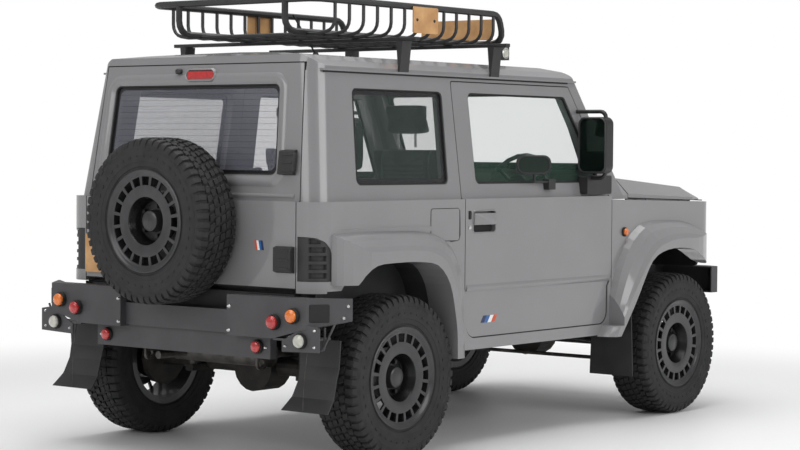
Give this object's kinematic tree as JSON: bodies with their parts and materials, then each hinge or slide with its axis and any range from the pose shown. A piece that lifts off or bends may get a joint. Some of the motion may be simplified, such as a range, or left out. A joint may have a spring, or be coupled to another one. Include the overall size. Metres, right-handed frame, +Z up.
{
  "type": "lifted off-road 4x4",
  "caption": "Compact two-door off-road 4x4, lifted on lugged tyres, with roof basket, rear-mounted spare, steel bumpers and opening doors, bonnet and tailgate.",
  "frame": {"origin": "on the ground below the middle of the overall length, on the middle plane", "axes": "+X towards the bonnet, +Y towards the left side, +Z up"},
  "size_m": [3.55, 1.74, 1.9659],
  "materials": {
    "body_paint": "gloss medium grey",
    "black_steel": "satin black",
    "black_plastic": "grained black",
    "cabin_plastic": "grained dark grey",
    "seat_cloth": "woven dark cloth",
    "tinted_glass": "dark tint",
    "clear_glass": "pale green tint",
    "red_lens": "clear red",
    "amber_lens": "clear amber",
    "clear_lens": "clear",
    "tyre_rubber": "matte black",
    "flap_rubber": "matte black",
    "rim_paint": "satin dark grey",
    "axle_iron": "rough dark",
    "bare_steel": "worn grey",
    "engine_alloy": "cast",
    "tan_board": "varnished tan"
  },
  "bodies": {
    "vehicle": {"amber_lamps": "amber_lens", "antenna": "black_steel", "arch_flares": "body_paint", "cabin_tub": "cabin_plastic", "clear_lamps": "clear_lens", "corner_louvres": "black_plastic", "cowl_panel": "body_paint", "dashboard": "cabin_plastic", "exhaust": "bare_steel", "fixed_glass": "clear_glass", "front_axle": "axle_iron", "front_bumper": "black_steel", "front_fenders": "body_paint", "fuel_tank": "black_steel", "grille_panel": "black_plastic", "headlamps": "clear_lens", "ladder_frame": "black_steel", "mud_flaps": "flap_rubber", "powertrain": "engine_alloy", "rack_boards": "tan_board", "rack_lamps": "clear_lens", "rear_axle": "axle_iron", "rear_bumper": "black_steel", "red_lamps": "red_lens", "roof_bars": "black_steel", "roof_basket": "black_steel", "roof_panel": "body_paint", "seats": "seat_cloth", "side_panel_left": "body_paint", "side_panel_right": "body_paint", "steering_wheel": "cabin_plastic", "suspension": "bare_steel", "tow_eyes": "bare_steel", "windscreen_frame": "body_paint"},
    "bonnet": {"bonnet": "body_paint"},
    "door_right": {"door_right": "body_paint", "door_glass_right": "clear_glass", "mirror_right": "black_plastic"},
    "door_left": {"door_left": "body_paint", "door_glass_left": "clear_glass", "mirror_left": "black_plastic"},
    "tailgate": {"tailgate": "body_paint", "tailgate_glass": "tinted_glass", "tailgate_fittings": "black_plastic", "high_brake_lamp": "red_lens", "number_plate": "tan_board", "spare_rim": "rim_paint", "spare_tyre": "tyre_rubber"},
    "steering_knuckle_right": {"knuckle_right": "axle_iron"},
    "steering_knuckle_left": {"knuckle_left": "axle_iron"},
    "steering_link": {"tie_rod": "bare_steel"},
    "wheel_front_right": {"rim_front_right": "rim_paint", "tyre_front_right": "tyre_rubber"},
    "wheel_front_left": {"rim_front_left": "rim_paint", "tyre_front_left": "tyre_rubber"},
    "wheel_rear_right": {"rim_rear_right": "rim_paint", "tyre_rear_right": "tyre_rubber"},
    "wheel_rear_left": {"rim_rear_left": "rim_paint", "tyre_rear_left": "tyre_rubber"}
  },
  "joints": [
    {"name": "bonnet_hinge", "type": "hinge", "parent": "vehicle", "child": "bonnet", "pos_m": [0.858, 0, 1.2005], "axis": [0, -1, 0], "range_deg": [0, 50]},
    {"name": "door_right_hinge", "type": "hinge", "parent": "vehicle", "child": "door_right", "pos_m": [0.66, -0.745, 1], "axis": [0, 0, 1], "range_deg": [0, 65]},
    {"name": "door_left_hinge", "type": "hinge", "parent": "vehicle", "child": "door_left", "pos_m": [0.66, 0.745, 1], "axis": [0, 0, -1], "range_deg": [0, 65]},
    {"name": "tailgate_hinge", "type": "hinge", "parent": "vehicle", "child": "tailgate", "pos_m": [-1.555, -0.621, 1], "axis": [0, 0, 1], "range_deg": [0, 90]},
    {"name": "steer_right", "type": "hinge", "parent": "vehicle", "child": "steering_knuckle_right", "pos_m": [1.195, -0.575, 0.3535], "axis": [0, 0, 1], "range_deg": [-30, 30]},
    {"name": "steer_left", "type": "hinge", "parent": "vehicle", "child": "steering_knuckle_left", "pos_m": [1.195, 0.575, 0.3535], "axis": [0, 0, 1], "range_deg": [-30, 30]},
    {"name": "link_swing", "type": "hinge", "parent": "steering_knuckle_right", "child": "steering_link", "pos_m": [1.05, -0.575, 0.2635], "axis": [0, 0, 1], "range_deg": [-30, 30]},
    {"name": "wheel_front_right_spin", "type": "hinge", "parent": "steering_knuckle_right", "child": "wheel_front_right", "pos_m": [1.195, -0.7, 0.3535], "axis": [0, 1, 0], "continuous": true},
    {"name": "wheel_front_left_spin", "type": "hinge", "parent": "steering_knuckle_left", "child": "wheel_front_left", "pos_m": [1.195, 0.7, 0.3535], "axis": [0, 1, 0], "continuous": true},
    {"name": "wheel_rear_right_spin", "type": "hinge", "parent": "vehicle", "child": "wheel_rear_right", "pos_m": [-1.055, -0.7, 0.3535], "axis": [0, 1, 0], "continuous": true},
    {"name": "wheel_rear_left_spin", "type": "hinge", "parent": "vehicle", "child": "wheel_rear_left", "pos_m": [-1.055, 0.7, 0.3535], "axis": [0, 1, 0], "continuous": true}
  ],
  "couplings": [
    {"joint": "steer_left", "follows": "steer_right", "ratio": 1},
    {"joint": "link_swing", "follows": "steer_right", "ratio": -1}
  ]
}
